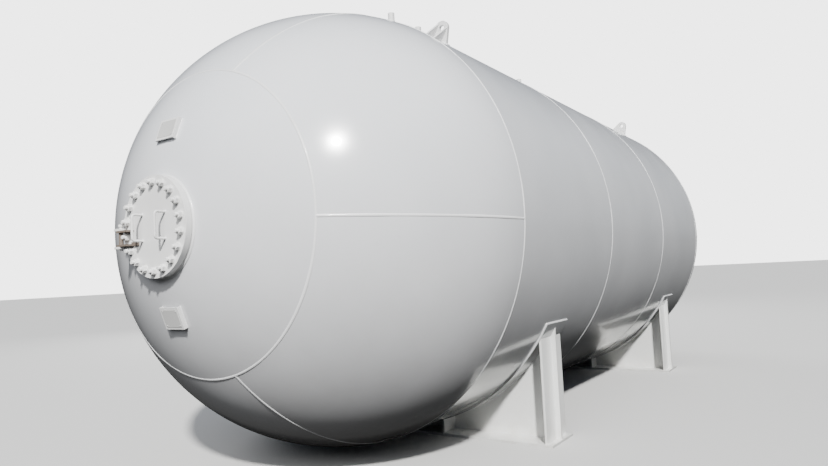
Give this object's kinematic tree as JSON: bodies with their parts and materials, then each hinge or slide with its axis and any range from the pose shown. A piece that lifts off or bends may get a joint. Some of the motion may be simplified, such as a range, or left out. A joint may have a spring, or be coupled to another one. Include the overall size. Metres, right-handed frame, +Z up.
{
  "type": "horizontal pressure tank",
  "caption": "Horizontal storage pressure tank with domed ends welded from petals, a bolted manhole in one end, lifting lugs and pipe stubs, standing on two welded saddles.",
  "frame": {"origin": "centre of the bounding box at floor level, under the middle of the tank", "axes": "+X along the tank from the manhole end to the plain end, +Z up, +Y to the left when facing +X"},
  "size_m": [8.925, 3.4, 3.47],
  "materials": {
    "paint": "gloss white-grey enamel",
    "fasteners": "zinc plated",
    "gasket": "matt"
  },
  "bodies": {
    "root": {"cover_handle_left": "paint", "cover_handle_right": "paint", "far_head_crown": "paint", "far_head_petal_1": "paint", "far_head_petal_2": "paint", "far_head_petal_3": "paint", "far_head_petal_4": "paint", "far_head_petal_5": "paint", "far_saddle_base": "paint", "far_saddle_end_plates": "paint", "far_saddle_ribs": "paint", "far_saddle_wear_plate": "paint", "far_saddle_web": "paint", "hinge_ears001": "paint", "hinge_leaf": "paint", "hinge_pin": "fasteners", "lifting_lug_far_left": "paint", "lifting_lug_far_right": "paint", "lifting_lug_near_left": "paint", "lifting_lug_near_right": "paint", "manhole_cover": "paint", "manhole_gasket": "gasket", "manhole_nuts": "fasteners", "manhole_ring": "paint", "manhole_studs": "fasteners", "nameplate_lower": "paint", "nameplate_upper": "paint", "near_head_crown": "paint", "near_head_petal_1": "paint", "near_head_petal_2": "paint", "near_head_petal_3": "paint", "near_head_petal_4": "paint", "near_head_petal_5": "paint", "near_saddle_base": "paint", "near_saddle_end_plates": "paint", "near_saddle_ribs": "paint", "near_saddle_wear_plate": "paint", "near_saddle_web": "paint", "pipe_stub_front": "paint", "pipe_stub_middle": "paint", "pipe_stub_rear": "paint", "shell_course_1": "paint", "shell_course_2": "paint", "shell_course_3": "paint"}
  },
  "joints": []
}
